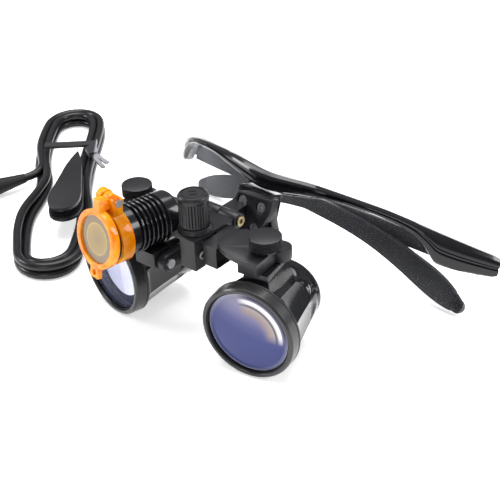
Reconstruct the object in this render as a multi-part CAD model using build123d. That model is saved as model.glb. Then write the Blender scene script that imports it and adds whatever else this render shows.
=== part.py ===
from build123d import *
import os
from math import atan, cos, degrees, pi, radians, sin, tan

# Flip-up dental loupes with a clip-on headlight, on a half-rim sports frame.
# Millimetres. +Z is up, the barrels look toward -Y, and +X is the wearer's left.
# The floor is Z = 0. X = 0 is the wearer's centre plane.
# Rest pose: temples folded, loupes down, amber filter hanging a little open over the headlight.

# ---- barrels ----
RING_R = 17.0           # front ring of a barrel, outer radius
RING_L = 5.5            # front ring, along the barrel
TOE = 10.8              # each barrel is swivelled outward by this much at rest, degrees
BODY_L = 31.5           # front face to the end of the eyepiece
EYE_R = 11.9            # eyepiece end of the barrel body, outer radius
BORE_R = 11.6           # light path inside the body
LENS_R = 15.05          # objective lens
KNOB_X = 29.2           # thumb knob and swivel axis, from the centre plane
KNOB_Y = 14.8           # the same, behind the front ring
RING_Z = RING_R         # barrel axis height: the rings stand on the floor

# ---- slide arms ----
ARM_TOP = 41.2          # top of the arm plates
ARM_T = 1.6             # arm plate thickness
BLOCK_Z = 36.3          # underside of the barrel blocks
RAIL_TOP = 40.4         # top of the rail plates, under the upper plate
RAIL_T = 1.5

# ---- flip block ----
PLATE_TOP = 41.6        # top of the upper plate
PLATE_X = 8.0           # right edge of the upper plate
CORE_TOP = 38.8         # floor of the rail slot
CENTRE_KNOB = (2.2, 10.4)
HINGE_Y = 25.8          # flip hinge axis, along X
HINGE_Z = 39.4
HINGE_R = 2.7
HINGE_PIN_R = 1.2
GAP = 0.3               # general gap between parts that move past each other
RUN = 0.05              # radial running clearance

# ---- headlight ----
LAMP = (-15.4, 3.4, 41.0)     # middle of the lamp housing
LAMP_TOE = 8.0                # the lamp points outward and a little up
LAMP_PITCH = 4.0
LAMP_R = 8.7
LAMP_FRONT = -15.3            # front and rear faces, along the lamp axis
LAMP_REAR = 11.0
FIN_COUNT = 6
FIN_PITCH = 1.85
PIVOT = (2.7, 29.7)           # tilt pivot axis, along X: Y and Z
BAND_R = 9.7                  # filter clamp band
COVER_R = 10.35               # filter cover
COVER_T = 2.8
FILTER_PIN_Z = 13.4           # filter hinge, above the lamp axis
FILTER_AJAR = 6.0             # the cover hangs slightly open at rest, degrees

# ---- glasses frame, in its own directions u (left), v (back), w (up) ----
FRAME_AT = (0.0, 51.0, 45.0)
FRAME_PITCH = 20.0            # the frame leans back on its lenses
FRAME_YAW = -2.6              # and is mounted very slightly askew
HALF_W = 77.0
WRAP_V = 35.5                 # how far the front wraps back at WRAP_U
WRAP_U = 73.0
WRAP_P = 2.1
PLATE_HOLES = ((-1.9, -10.9), (6.8, -10.9), (5.4, -19.0))    # three screws, u and w
TEMPLE_U = 70.5               # temple hinge axis
TEMPLE_V = 38.3
TEMPLE_T = 2.4                # temple thickness
TEMPLE_L = 140.0
LENS_T = 1.6
LENS_LOW = -41.75             # lowest edge of the clear lenses

# ---- lead ----
CABLE_R = 1.75
PLUG_R = 2.75                 # barrel connector sleeve
PLUG_L = 9.5

# The row's frame has its origin under the middle of the object without its lead.
SHIFT = (-1.44, -34.8, 0.25)


def ring(r_out, r_in, s0, s1):
    # A tube along +Y from s0 to s1.
    tube = Cylinder(r_out, s1 - s0) - Cylinder(r_in, s1 - s0)
    return Pos(0, (s0 + s1) / 2, 0) * Rot(90, 0, 0) * tube


def rod(r, s0, s1):
    # A rod along +Y from s0 to s1.
    return Pos(0, (s0 + s1) / 2, 0) * Rot(90, 0, 0) * Cylinder(r, s1 - s0)


def rod_x(r, x0, x1, y, z):
    return Pos((x0 + x1) / 2, y, z) * Rot(0, 90, 0) * Cylinder(r, x1 - x0)


def rod_z(r, z0, z1, x, y):
    return Pos(x, y, (z0 + z1) / 2) * Cylinder(r, z1 - z0)


def block(x0, x1, y0, y1, z0, z1):
    return Pos((x0 + x1) / 2, (y0 + y1) / 2, (z0 + z1) / 2) * Box(x1 - x0, y1 - y0, z1 - z0)


def turned(points):
    # A solid turned about the Y axis from (radius, along) points.
    face = make_face(Plane.XY * Polyline(*points, close=True))
    return revolve(face, Axis.Y)


def slab(points, z0, z1):
    # A flat plate from its outline seen from above.
    face = make_face(Polyline(*points, close=True))
    return Pos(0, 0, z0) * extrude(face, z1 - z0)


# ---------------------------------------------------------------- barrels
def barrel_place(side):
    # The barrel axis passes under the thumb knob and is swivelled outward.
    x = KNOB_X + KNOB_Y * tan(radians(TOE))
    return Pos(side * x, 0, RING_Z) * Rot(0, 0, side * TOE)


def front_ring():
    s = 0.7
    outline = [(LENS_R + 0.1, 0), (RING_R - s, 0), (RING_R, s), (RING_R + 0.25, RING_L)]
    outline += [(13.6, RING_L), (13.6, 4.4), (LENS_R + 0.1, 4.4)]
    return turned(outline)


def inner_ring():
    # Thin black sleeve that holds the objective in the front ring.
    return ring(LENS_R, 14.2, 0.5, 4.3)


def objective():
    # Convex front face that bulges just past the ring, flat back.
    bulge = 1.9
    r_face = (14.1 ** 2 + bulge ** 2) / (2 * bulge)
    ball = Pos(0, 1.5 - bulge + r_face, 0) * Sphere(r_face)
    dome = ball & rod(14.1, 1.5 - bulge, 1.5)
    return dome + rod(14.1, 1.5, 4.3)


def barrel_body():
    shell = [(BORE_R, RING_L), (16.6, RING_L), (15.7, 9.5), (13.9, 17.0), (12.7, 23.5)]
    shell += [(EYE_R, 27.5), (11.6, 29.8), (10.6, BODY_L - 0.4), (9.0, BODY_L - 0.4)]
    shell += [(9.0, 29.0), (10.4, 29.0)]
    body = turned(shell)
    flute = Rot(90, 0, 0) * Cylinder(3.2, 12)
    for i in range(12):
        turn = Rot(0, i * 30 + 15, 0)
        body -= turn * Pos(16.7, 16.0, 0) * Rot(0, 0, 14) * flute
    body += barrel_post()
    return body - Pos(0, KNOB_Y / cos(radians(TOE)), 0) * rod_z(1.5 + RUN, 13.8, 30, 0, 0)


def barrel_post():
    # Round post on the barrel, which the thumb screw pulls up against the block.
    s = KNOB_Y / cos(radians(TOE))
    return Pos(0, s, 0) * rod_z(5.4, 12.4, BLOCK_Z - RING_Z - 0.1, 0, 0)


def eye_lens():
    return rod(8.9, 28.0, 30.2)


def eye_ring():
    return ring(8.95, 7.6, 30.2, BODY_L)


# ---------------------------------------------------------------- slide arms
def barrel_block(side):
    outline = [(25.6, 4.6), (33.0, 5.4), (31.4, 18.7), (23.9, 17.8)]
    return slab([(side * x, y) for x, y in outline], BLOCK_Z, ARM_TOP - ARM_T)


def arm_left():
    # Plate over the barrel block, rail plate in the slot, and a hanging stop block.
    outline = [(15.2, 7.2), (18.0, 6.0), (21.6, 4.9), (25.5, 4.5)]
    outline += [(33.1, 5.3), (31.5, 18.8), (28.8, 21.0), (15.2, 21.0)]
    plate = slab(outline, ARM_TOP - ARM_T, ARM_TOP)
    outline = [(8.6, 6.2), (15.2, 6.2), (15.2, 20.5), (3.4, 20.5), (3.4, 14.4), (8.6, 14.4)]
    rail = slab(outline, RAIL_TOP - RAIL_T, RAIL_TOP)
    step = block(14.2, 16.4, 8.0, 20.5, RAIL_TOP - RAIL_T, ARM_TOP - 0.2)
    stop = block(9.0, 14.8, 6.4, 13.6, 32.3, RAIL_TOP - RAIL_T)
    stub = rod_z(4.0, BLOCK_Z, ARM_TOP - 1.0, 30.6, 20.2)
    arm = plate + rail + step + stop + barrel_block(1) + stub
    return arm - rod_z(1.5 + RUN, 30, 50, KNOB_X, KNOB_Y)


def arm_right():
    # The same, but the rail passes behind the headlight.
    outline = [(-33.1, 5.3), (-25.5, 4.5), (-24.0, 17.6), (-20.5, 17.6)]
    outline += [(-20.5, 21.0), (-28.8, 21.0), (-31.5, 18.8)]
    plate = slab(outline, ARM_TOP - ARM_T, ARM_TOP)
    bridge = block(-23.5, -4.8, 17.6, 20.8, ARM_TOP - 0.2, ARM_TOP + 1.6)
    drop = block(-7.6, -4.8, 17.6, 20.5, RAIL_TOP - RAIL_T, ARM_TOP + 1.6)
    rail = block(-7.6, 0.0, 17.6, 20.5, RAIL_TOP - RAIL_T, RAIL_TOP)
    stub = rod_z(4.0, BLOCK_Z, ARM_TOP - 1.0, -30.6, 20.2)
    arm = plate + bridge + drop + rail + barrel_block(-1) + stub
    return arm - rod_z(1.5 + RUN, 30, 50, -KNOB_X, KNOB_Y)


def thumb_knob(side):
    head = rod_z(5.0, ARM_TOP + 1.0, ARM_TOP + 5.4, side * KNOB_X, KNOB_Y)
    head = chamfer(head.edges().group_by(Axis.Z)[-1], 0.4)
    return head + rod_z(1.5, 31.6, ARM_TOP + 1.0, side * KNOB_X, KNOB_Y)


def thumb_washer(side):
    washer = rod_z(3.8, ARM_TOP, ARM_TOP + 0.7, side * KNOB_X, KNOB_Y)
    return washer - rod_z(1.5 + RUN, 30, 50, side * KNOB_X, KNOB_Y)


# ---------------------------------------------------------------- flip block
def flip_block():
    plate = block(-2.4, PLATE_X, 3.6, 15.0, RAIL_TOP + 0.1, PLATE_TOP)
    plate += block(-2.4, PLATE_X, 15.0, 22.6, RAIL_TOP + 0.1, PLATE_TOP)
    core = block(-2.4, 7.6, 8.6, 22.6, 33.0, CORE_TOP)
    cheek = block(1.0, 7.6, 3.8, 8.6, 30.0, RAIL_TOP + 0.1)
    web = block(-2.4, 7.6, 20.9, 22.6, CORE_TOP, RAIL_TOP + 0.1)
    knuckle = rod_x(HINGE_R, 0.5, 8.3, HINGE_Y, HINGE_Z)
    neck = block(0.5, 7.6, 22.2, HINGE_Y, HINGE_Z - 2.0, HINGE_Z + 0.8)
    body = plate + core + cheek + web + knuckle + neck
    body -= rod_x(HINGE_PIN_R + RUN, -1, 10, HINGE_Y, HINGE_Z)
    return body - rod_z(1.5 + RUN, 34.5, 50, *CENTRE_KNOB)


def knob_collar():
    x, y = CENTRE_KNOB
    collar = rod_z(5.8, PLATE_TOP, PLATE_TOP + 1.4, x, y) + rod_z(5.3, PLATE_TOP + 1.4, PLATE_TOP + 2.2, x, y)
    return collar - rod_z(1.5 + RUN, 34, 50, x, y)


def centre_knob():
    x, y = CENTRE_KNOB
    low = PLATE_TOP + 2.4
    knob = rod_z(5.1, low, 53.4, x, y) + rod_z(5.4, 53.4, 54.6, x, y)
    knob += Pos(x, y, 55.0) * Cone(5.4, 4.6, 0.8)
    return knob + rod_z(1.5, 35.0, low, x, y)


def set_screw():
    # Small hollow-ended screw in the left cheek of the flip block.
    x, y, z = 7.6, 7.4, 34.7
    return rod_x(1.45, x, x + 0.4, y, z) - rod_x(0.95, x - 1, x + 1, y, z)


def lamp_arm():
    # Bar from the flip block to the tilt pivot.
    y, z = PIVOT
    bar = block(-6.4, -3.4, y, 14.0, z - 3.3, z + 3.3) + rod_x(3.3, -6.4, -3.4, y, z)
    lug = block(-3.4, -0.5, 9.0, 14.0, 27.5, 33.0)
    return bar + lug - rod_x(1.0 + RUN, -8, 0, y, z)


def lamp_screw():
    y, z = PIVOT
    return rod_x(1.7, -3.4, -2.6, y, z) + rod_x(1.0, -11.0, -3.4, y, z)


# ---------------------------------------------------------------- headlight
def lamp_place():
    return Pos(*LAMP) * Rot(0, 0, -LAMP_TOE) * Rot(-LAMP_PITCH, 0, 0)


def lamp_housing():
    body = rod(LAMP_R, LAMP_FRONT, 5.2)
    fins_from = -6.6
    for i in range(FIN_COUNT):
        s = fins_from + i * FIN_PITCH
        body -= ring(LAMP_R + 1, 6.9, s, s + FIN_PITCH * 0.5)
    return body - rod(7.2, LAMP_FRONT - 1, -7.4)


def lamp_cap():
    cap = rod(LAMP_R - 0.1, 5.2, LAMP_REAR)
    return fillet(cap.edges().group_by(Axis.Y)[-1], 1.4)


def lamp_lens():
    dome = Pos(0, -6.2, 0) * Sphere(9.0) & rod(7.1, -20, -11.0)
    return dome + rod(7.1, -11.0, -9.6)


def lamp_board():
    # Round board with the light-emitting chip on it.
    return rod(7.0, -8.4, -7.4) + block(-1.2, 1.2, -9.0, -8.4, -1.2, 1.2)


def lamp_foot():
    y, z = PIVOT
    foot = block(-15.8, -6.8, y - 4.0, y + 4.0, z - 1.8, z + 4.0)
    foot += rod_x(3.2, -9.8, -6.8, y, z)
    foot -= lamp_place() * rod(LAMP_R + 0.02, -30, 30)
    return foot - rod_x(1.0 + RUN, -12.5, 0, y, z)


def filter_band():
    # Clamp band on the front of the housing, with two hinge ears on top.
    band = ring(BAND_R, LAMP_R, LAMP_FRONT, LAMP_FRONT + 4.8)
    pin_y = LAMP_FRONT + 2.4
    for x0, x1, r in ((-4.8, -2.0, 2.6), (2.0, 4.2, 2.2)):
        band += block(x0, x1, pin_y - 1.8, pin_y + 1.8, LAMP_R + 0.1, FILTER_PIN_Z)
        band += rod_x(r, x0, x1, pin_y, FILTER_PIN_Z)
    band -= rod(LAMP_R, LAMP_FRONT - 1, LAMP_FRONT + 6)
    return band - rod_x(0.8, -6, 6, pin_y, FILTER_PIN_Z)


def filter_pin():
    pin_y = LAMP_FRONT + 2.4
    return rod_x(0.8, -4.8, 4.2, pin_y, FILTER_PIN_Z) + rod_x(1.4, 4.2, 4.9, pin_y, FILTER_PIN_Z)


def filter_swing(shape):
    # The cover and its lens, swung open about the pin to their rest angle.
    pin = Pos(0, LAMP_FRONT + 2.4, FILTER_PIN_Z)
    return pin * Rot(-FILTER_AJAR, 0, 0) * pin.inverse() * shape


def filter_cover():
    back = LAMP_FRONT - GAP - 0.2
    front = back - COVER_T
    pin_y = LAMP_FRONT + 2.4
    cover = ring(COVER_R, 8.4, front, back)
    cover -= ring(8.9, 8.3, front + 0.8, back + 0.1)
    arm = block(-1.7, 1.7, front, pin_y, BAND_R + 0.7, FILTER_PIN_Z + 1.0)
    arm -= block(-2, 2, back, pin_y + 1, 0, BAND_R + 1.0)
    arm += block(-1.7, 1.7, front, back, BAND_R - 0.8, FILTER_PIN_Z)
    arm += rod_x(2.2, -1.7, 1.7, pin_y, FILTER_PIN_Z)
    arm -= rod_x(0.8 + RUN, -6, 6, pin_y, FILTER_PIN_Z)
    tab = block(-2.2, 2.2, front + 0.2, front + 2.0, -COVER_R - 3.6, -COVER_R + 0.8)
    tab -= Pos(0, 0, -COVER_R - 1.6) * rod(1.0, front - 1, front + 3)
    return filter_swing(cover + arm + tab)


def filter_glass():
    front = LAMP_FRONT - GAP - 0.2 - COVER_T
    return filter_swing(rod(8.85, front + 0.8, front + 2.0))


def cable_relief():
    # Tapered sleeve on the lead where it leaves the lamp, low on the rear cap.
    sleeve = Pos(-3.6, LAMP_REAR + 4.5, -4.2) * Rot(-90, 0, 0) * Cone(2.6, 2.0, 9.0)
    return sleeve


# ---------------------------------------------------------------- glasses frame
def frame_place():
    return Pos(*FRAME_AT) * Rot(0, 0, FRAME_YAW) * Rot(-FRAME_PITCH, 0, 0)


def wrap(u):
    return WRAP_V * (abs(u) / WRAP_U) ** WRAP_P


def wrap_band(front, back, half, low, high):
    # The space between two wrapped surfaces, front and back of the wrap curve.
    us = [half * (i - 8) / 8 for i in range(17)]
    ahead = Spline(*[(u, wrap(u) - front) for u in us])
    behind = Spline(*[(u, wrap(u) + back) for u in us])
    ends = Line(ahead @ 0, behind @ 0) + Line(ahead @ 1, behind @ 1)
    face = make_face(ahead + behind + ends)
    return Pos(0, 0, low) * extrude(face, high - low)


def front_view(outline_edges):
    # A prism along v from an outline in u and w.
    face = make_face(outline_edges)
    return Rot(90, 0, 0) * extrude(face, 60, both=True)


def brow_outline():
    top = [(75, -8.7), (54, -2.8), (42, -0.4), (20, 1.1), (0, 0.2)]
    top += [(-u, w) for u, w in reversed(top[:-1])]
    low = [(61, -15.4), (57.5, -11.2), (53, -6.8), (45, -3.9), (36, -2.7), (27, -2.4), (16, -3.9), (0, -6.4)]
    low += [(-u, w) for u, w in reversed(low[:-1])]
    upper = Spline(*top)
    lower = Spline(*low)
    right = Polyline((75, -8.7), (HALF_W, -12.6), (75.2, -16.8), (61, -15.4))
    left = Polyline((-75, -8.7), (-HALF_W, -12.6), (-75.2, -16.8), (-61, -15.4))
    return upper + lower + right + left


def brow_frame():
    bar = front_view(brow_outline()) & wrap_band(2.2, 2.6, 79, -30, 10)
    bar -= block(-90, 90, 39.4, 60, -40, 20)
    for side in (1, -1):
        u0, u1 = sorted((side * (TEMPLE_U + 1.6), side * 60))
        bar -= block(u0, u1, TEMPLE_V - 2.2, 45, -30, 0)
        u = side * TEMPLE_U
        for low, high in ((-12.6, -10.8), (-18.0, -16.2)):
            bar += rod_z(2.0, low, high, u, TEMPLE_V)
            a, b = sorted((u, side * (TEMPLE_U + 3.0)))
            bar += block(a, b, TEMPLE_V - 2.0, TEMPLE_V + 0.8, low, high)
        bar -= rod_z(2.0 + GAP + 0.1, -16.2, -12.6, u, TEMPLE_V)
        bar -= rod_z(0.8, -20, 0, u, TEMPLE_V)
    return bar


def lens_outline(side):
    edge = [(8.6, -9.0), (11.5, -20.0), (18.0, -33.0), (24.5, -40.2), (33.0, LENS_LOW)]
    edge += [(44.0, LENS_LOW + 0.1), (56.0, -39.9), (66.0, -36.2)]
    edge += [(70.4, -31.0), (70.8, -24.0), (68.6, -16.4)]
    top = [(68.6, -16.4), (61.6, -16.0), (57.0, -11.8), (52.6, -7.5), (45, -4.6), (36, -3.2), (27, -2.9)]
    top += [(16, -4.6), (8.6, -6.1)]
    flip = lambda pts: [(side * u, w) for u, w in pts]
    low = Spline(*flip(edge))
    high = Spline(*flip(top))
    return low + high + Line(low @ 0, high @ 1)


def clear_lens(side):
    return front_view(lens_outline(side)) & wrap_band(LENS_T / 2, LENS_T / 2, 74, -60, 5)


def nose_bridge():
    # Saddle between the lenses, with two legs that flare out in front of them.
    outline = [(-8.2, -7.0), (8.2, -7.0), (8.7, -11.5), (10.0, -15.6), (12.3, -20.0), (12.7, -23.5)]
    outline += [(-u, w) for u, w in reversed(outline[2:])]
    legs = front_view(Polyline(*outline, close=True)) & block(-20, 20, -4.8, -1.1, -40, 0)
    body = legs + block(-6.9, 6.9, -4.8, 2.4, -19.0, -6.6)
    body -= Pos(0, 0, -25.0) * Rot(90, 0, 0) * Cylinder(9.0, 20)
    for u, w in PLATE_HOLES:
        body -= Pos(u, 0, w) * rod(1.1, -5, -3.0)
    return body


def nose_pad(side):
    # Clear soft pad behind each leg of the saddle.
    pad = Pos(side * 9.2, 2.3, -19.8) * Rot(0, -side * 14, 0) * Box(2.0, 6.8, 7.0)
    pad = fillet(pad.edges().filter_by(Axis.Y), 0.9)
    pad &= block(-30, 30, -1.1, 20, -40, 0)
    return pad - block(-6.9, 6.9, -5, 2.5, -19.0, 0)


def temple_profile(rise):
    # Side view of a temple: distance from the hinge, height.
    top = [(3.0, -11.4), (40.0, -12.4), (72.0, -13.4), (97.0, -15.4)]
    top += [(116.0, -19.3), (130.5, -23.8), (138.0, -28.6)]
    low = [(3.0, -17.4), (40.0, -18.4), (72.0, -19.7), (95.0, -22.6)]
    low += [(115.0, -28.3), (130.0, -32.8), (136.5, -33.4)]
    lift = lambda s, h: (s, h + rise * (s / 138) ** 8)
    upper = Spline(*[lift(s, h) for s, h in top])
    lower = Spline(*[lift(s, h) for s, h in low])
    tip = ThreePointArc(upper @ 1, lift(TEMPLE_L - 0.2, -31.4), lower @ 1)
    return upper + lower + tip + Line(upper @ 0, lower @ 0)


def temple(side, lean, rise):
    # Built folded, along -u from its hinge, then turned by its lean.
    # The tip of the ear hook is cut off square, where the end cap starts.
    face = make_face(temple_profile(rise))
    arm = Rot(90, 0, 0) * extrude(face, TEMPLE_T / 2, both=True)
    arm -= block(135.2, 160, -5, 5, -50, 0)
    knuckle = rod_z(2.0, -16.0, -12.8, 0, 0) + block(0, 3.4, -1.0, 1.0, -16.0, -12.8)
    arm = arm + knuckle - rod_z(0.8 + RUN, -20, 0, 0, 0)
    return temple_set(arm, side, lean)


def temple_tip(side, lean, rise):
    face = make_face(temple_profile(rise))
    arm = Rot(90, 0, 0) * extrude(face, TEMPLE_T / 2, both=True)
    return temple_set(arm & block(135.4, 160, -5, 5, -50, 0), side, lean)


def temple_set(shape, side, lean):
    if side > 0:
        shape = Rot(0, 0, 180) * shape
    return Pos(side * TEMPLE_U, TEMPLE_V, 0) * Rot(0, 0, -side * lean) * shape


def temple_pin(side):
    return Pos(side * TEMPLE_U, TEMPLE_V, -14.4) * Cylinder(0.8, 7.2)


# ---------------------------------------------------------------- mounting plate
def mount_plate():
    outline = [(-4.6, -8.2), (11.6, -6.8), (11.4, -11.5), (9.4, -16.5)]
    outline += [(8.4, -22.2), (-7.0, -22.2), (-7.4, -15.0)]
    plate = front_view(Polyline(*outline, close=True)) & block(-20, 20, -8.4, -4.8, -40, 0)
    for u, w in PLATE_HOLES:
        plate -= Pos(u, -9.5, w) * (rod(2.1, 0, 2.7) + rod(1.1, 0, 9))
    return plate


def plate_screw(u, w):
    head = rod(1.8, -8.0, -6.8) + rod(1.1, -6.8, -3.2)
    head -= Pos(0, -8.2, 0) * Rot(90, 0, 0) * extrude(RegularPolygon(0.9, 6), 1.6, both=True)
    return Pos(u, 0, w) * head


def hinge_base():
    # Knuckle and web in front of the mounting plate.
    knuckle = rod_x(HINGE_R, -6.6, 0.2, HINGE_Y, HINGE_Z)
    web = block(-6.6, 0.2, HINGE_Y + 0.4, 46.0, HINGE_Z - 7.4, HINGE_Z - 2.5)
    body = knuckle + web + block(-6.6, 0.2, HINGE_Y, HINGE_Y + 2.6, HINGE_Z - 4.4, HINGE_Z)
    body -= rod_x(HINGE_PIN_R, -8, 2, HINGE_Y, HINGE_Z)
    plate_space = frame_place() * block(-40, 40, -8.4, 20, -60, 20)
    return body - plate_space


def hinge_pin():
    pin = rod_x(HINGE_PIN_R, -6.6, 8.4, HINGE_Y, HINGE_Z)
    head = rod_x(1.8, 8.4, 9.0, HINGE_Y, HINGE_Z)
    slot = rod_x(0.9, 8.3, 10, HINGE_Y, HINGE_Z)
    return pin + head - slot


# ---------------------------------------------------------------- lead
FLOOR = -SHIFT[2]
LAID_Z = FLOOR + CABLE_R + 0.05
HANK_FROM = (-66.0, 2.0)      # end of the hank nearest the barrels
HANK_TO = (-154.0, 101.5)     # far end
HANK_H = 9.0


def hank_place():
    dx = HANK_TO[0] - HANK_FROM[0]
    dy = HANK_TO[1] - HANK_FROM[1]
    turn = degrees(atan(dy / dx)) + 180
    return Pos(HANK_FROM[0], HANK_FROM[1], FLOOR) * Rot(0, 0, turn)


def cable_hank():
    # Outer shape of the folded lead: a long slab with a waist.
    near = [(-3.5, 2.5), (3.5, 11.0), (14.6, 16.8), (27, 19.6), (40, 20.2), (54, 18.4), (66, 14.6)]
    near += [(78, 17.8), (90, 19.6), (104, 19.6), (116, 18.2), (127, 13.2), (136, 3.5)]
    far = [(136, 3.5), (127, -6.2), (112, -9.6), (96, -9.2), (80, -8.6), (58, -8.5)]
    far += [(42, -11.5), (27, -12.8), (10, -9.8), (-3.5, 2.5)]
    face = make_face(Spline(*near) + Spline(*far))
    return hank_place() * extrude(face, HANK_H)


LEAD_START = (-3.6, LAMP_REAR + 11.0, -4.2)     # in the lamp's own directions


def lead_route():
    # Back from the lamp, down behind the right barrel, then along the floor to the hank.
    a = (lamp_place() * Pos(*LEAD_START)).position
    down = [(-15.1, 30.8, 34.6), (-15.0, 36.2, 31.0), (-15.3, 39.0, 25.0), (-18.6, 40.0, 18.0)]
    down += [(-26.0, 38.6, 10.8)]
    along = [(-35.0, 35.6, 4.9), (-45.5, 31.5, LAID_Z), (-55.5, 25.5, LAID_Z), (-65.0, 15.5, LAID_Z)]
    return [(a.X, a.Y, a.Z)] + down + along


def bend_radii(points):
    radii = []
    for i in range(1, len(points) - 1):
        p, q, r = Vector(points[i - 1]), Vector(points[i]), Vector(points[i + 1])
        turn = radians((q - p).get_angle(r - q))
        radii.append(0.45 * min((q - p).length, (r - q).length) / tan(turn / 2))
    return radii


def tube(points, r):
    radii = bend_radii(points)
    print("bend radii", [round(x, 1) for x in radii])
    path = FilletPolyline(*points, radius=radii)
    start = Plane(origin=path @ 0, z_dir=path % 0)
    body = sweep(start * Circle(r), path=path)
    print("volume ratio", round(body.volume / (pi * r * r * path.length), 4), "length", round(path.length, 1))
    return body


def cable_lead():
    return tube(lead_route(), CABLE_R)


def twist_tie():
    # Band across the folded lead, with its twisted knot and two loose ends.
    band = block(90.0, 94.0, -9.0, 14.0, HANK_H, HANK_H + 1.2)
    knot = slab([(90, -9), (94, -9), (86, -4.5), (80.5, -6.5), (82, -10.5)], HANK_H, HANK_H + 1.8)
    ends = slab([(82.5, -7.5), (82.5, -9.5), (73.5, -16.0), (72.5, -14.4)], HANK_H + 0.2, HANK_H + 1.0)
    ends += slab([(81.5, -6.8), (82.0, -8.6), (69.5, -14.6), (69.0, -13.0)], HANK_H + 0.2, HANK_H + 1.0)
    return hank_place() * (band + knot + ends)


def leaf(length, width, z0, z1):
    # Flat blade, round at its tail and pointed at its tip.
    tail, tip = (0.15, 1.0), (1.0, -0.35)
    a = Spline((0, 0), (length * 0.42, width / 2), (length, 0), tangents=(tail, tip))
    low_tail, low_tip = (tail[0], -tail[1]), (tip[0], -tip[1])
    b = Spline((0, 0), (length * 0.42, -width / 2), (length, 0), tangents=(low_tail, low_tip))
    return Pos(0, 0, z0) * extrude(make_face(a + b), z1 - z0)


CLIP_PIN = (14.0, HANK_H + 3.2)      # along the clip and up


def clip_place():
    return hank_place() * Pos(26, -1.0, 0) * Rot(0, 0, -2.4)


def clip_bar(r, wide):
    x, z = CLIP_PIN
    return Pos(x, 0, z) * Rot(90, 0, 0) * Cylinder(r, wide)


def clip_base():
    lower = leaf(49, 11.0, HANK_H + 0.05, HANK_H + 1.6)
    post = block(12.4, 15.6, -3.0, -1.6, HANK_H + 1.6, HANK_H + 4.1)
    post += block(12.4, 15.6, 1.6, 3.0, HANK_H + 1.6, HANK_H + 4.1)
    return clip_place() * (lower + post - clip_bar(0.7, 20))


def clip_pin():
    return clip_place() * clip_bar(0.7, 6)


def clip_jaw():
    upper = leaf(49, 10.6, HANK_H + 4.7, HANK_H + 6.2)
    ear = block(12.8, 15.2, -1.3, 1.3, HANK_H + 2.3, HANK_H + 4.9)
    return clip_place() * (upper + ear - clip_bar(0.7 + RUN, 20))


PLUG_AT = (-129.6, 42.6, 4.45 + FLOOR)


def plug_place():
    return Pos(*PLUG_AT) * Rot(0, 0, 163)


def plug_body():
    # Moulded plug with its tapered strain relief.
    relief = Pos(0, 7.0, 0) * Rot(-90, 0, 0) * Cone(2.0, 3.6, 14.0)
    return plug_place() * (relief + rod(4.4, 14.0, 31.0))


def plug_sleeve():
    sleeve = ring(PLUG_R, 1.1, 31.0, 31.0 + PLUG_L)
    return plug_place() * sleeve


# ---------------------------------------------------------------- all nodes
def build():
    parts = {}
    for name, side in (("left", 1), ("right", -1)):
        at = barrel_place(side)
        parts["front_ring_" + name] = at * front_ring()
        parts["inner_ring_" + name] = at * inner_ring()
        parts["objective_" + name] = at * objective()
        parts["barrel_" + name] = at * barrel_body()
        parts["eye_lens_" + name] = at * eye_lens()
        parts["eye_ring_" + name] = at * eye_ring()
        parts["thumb_knob_" + name] = thumb_knob(side)
        parts["thumb_washer_" + name] = thumb_washer(side)
        lean, rise = (2.4, 2.3) if side > 0 else (-0.6, 0.0)
        at = frame_place()
        parts["clear_lens_" + name] = at * clear_lens(side)
        parts["nose_pad_" + name] = at * nose_pad(side)
        parts["temple_" + name] = at * temple(side, lean, rise)
        parts["temple_tip_" + name] = at * temple_tip(side, lean, rise)
        parts["temple_pin_" + name] = at * temple_pin(side)
    parts["slide_arm_left"] = arm_left()
    parts["slide_arm_right"] = arm_right()
    parts["flip_block"] = flip_block()
    parts["knob_collar"] = knob_collar()
    parts["centre_knob"] = centre_knob()
    parts["set_screw"] = set_screw()
    parts["lamp_arm"] = lamp_arm()
    parts["lamp_screw"] = lamp_screw()
    parts["lamp_foot"] = lamp_foot()
    lamp = (lamp_housing, lamp_cap, lamp_lens, lamp_board, filter_band, filter_pin, filter_cover,
            filter_glass, cable_relief)
    for make in lamp:
        parts[make.__name__] = lamp_place() * make()
    at = frame_place()
    parts["brow_frame"] = at * brow_frame()
    parts["nose_bridge"] = at * nose_bridge()
    parts["mount_plate"] = at * mount_plate()
    for i, (u, w) in enumerate(PLATE_HOLES):
        parts["plate_screw_%d" % (i + 1)] = at * plate_screw(u, w)
    parts["hinge_base"] = hinge_base()
    parts["hinge_pin"] = hinge_pin()
    for make in (cable_lead, cable_hank, twist_tie, clip_base, clip_pin, clip_jaw, plug_body, plug_sleeve):
        parts[make.__name__] = make()
    return parts


if __name__ == "__main__":
    os.makedirs("parts", exist_ok=True)
    for name, shape in build().items():
        export_step(Pos(*SHIFT) * shape, "parts/%s.step" % name)
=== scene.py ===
import math

import bmesh
import bpy
from mathutils import Matrix, Vector

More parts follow.
